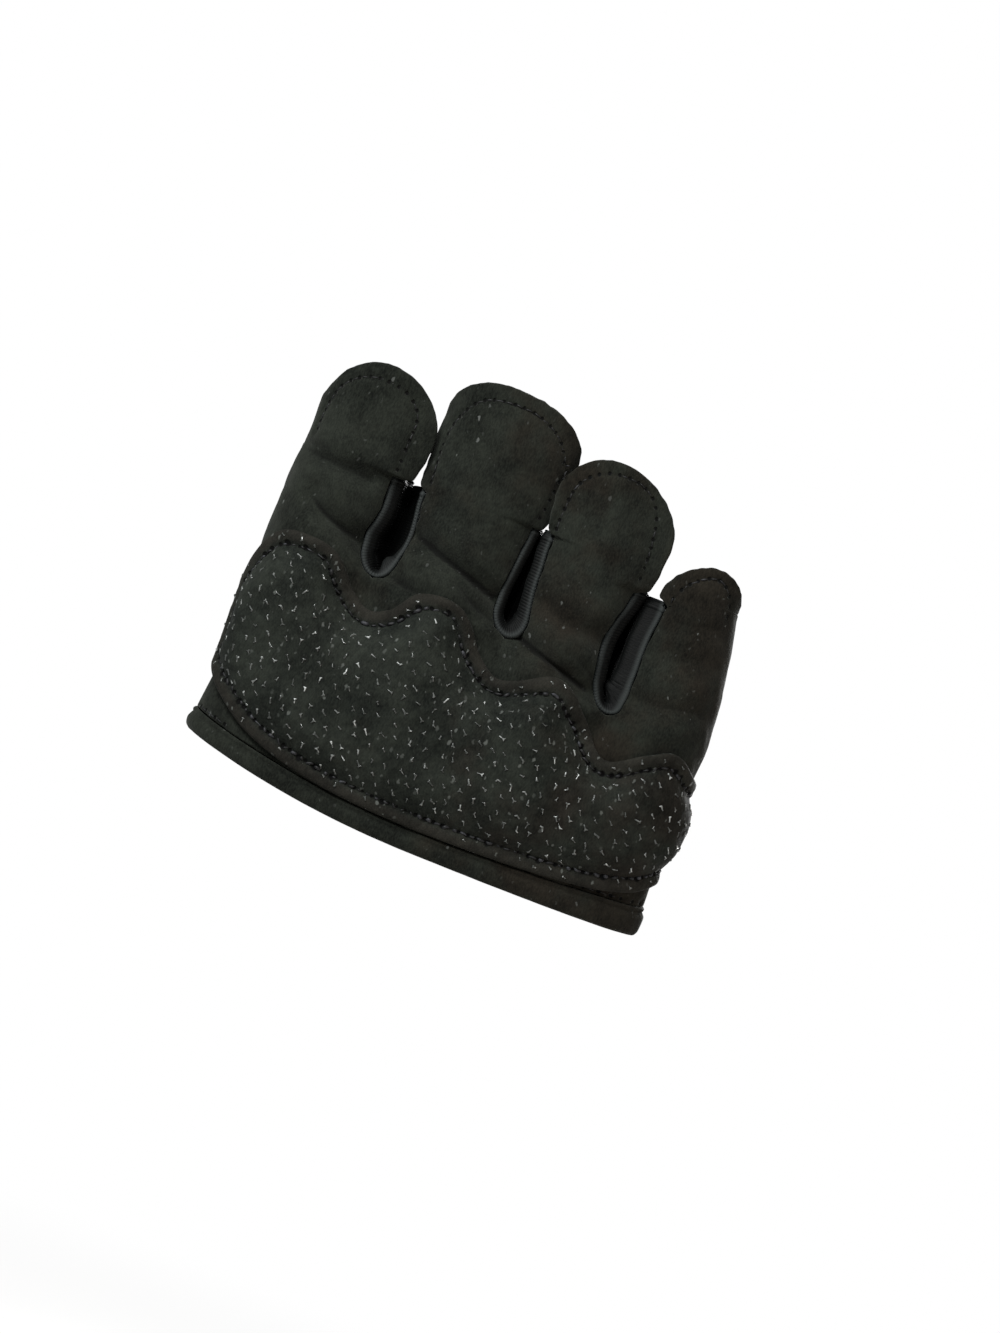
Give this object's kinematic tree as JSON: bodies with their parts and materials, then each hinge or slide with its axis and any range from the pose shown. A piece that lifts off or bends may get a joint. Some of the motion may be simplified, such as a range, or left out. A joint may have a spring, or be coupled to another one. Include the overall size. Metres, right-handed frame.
{
  "type": "short fingerless weightlifting glove",
  "caption": "Short slip-on fingerless lifting glove with rounded finger tabs, ribbed gussets, a padded grip-printed palm patch and a folded wrist hem.",
  "frame": {"origin": "middle of the wrist opening, where the hand goes in", "axes": "+Z along the fingers, the palm faces -Y, +X towards the little finger of a left hand"},
  "size_m": [0.0833, 0.0316, 0.0759],
  "materials": {
    "suede": "greenish black microsuede with a short matt nap and a little pale lint",
    "grip_cloth": "black padded microsuede, flattened, printed with clear grip marks",
    "stretch_cloth": "black fine stretch cloth with a slight sheen",
    "rib_knit": "black fine-ribbed stretch knit, slightly shiny",
    "thread": "black twisted sewing thread",
    "grip_mark": "clear glossy silicone print that shows the black cloth through it"
  },
  "bodies": {
    "root": {"palm_panel": "suede", "grip_pad": "grip_cloth", "wrist_hem": "suede", "back_panel": "stretch_cloth", "gusset_index_middle": "rib_knit", "gusset_middle_ring": "rib_knit", "gusset_ring_little": "rib_knit"}
  },
  "joints": []
}
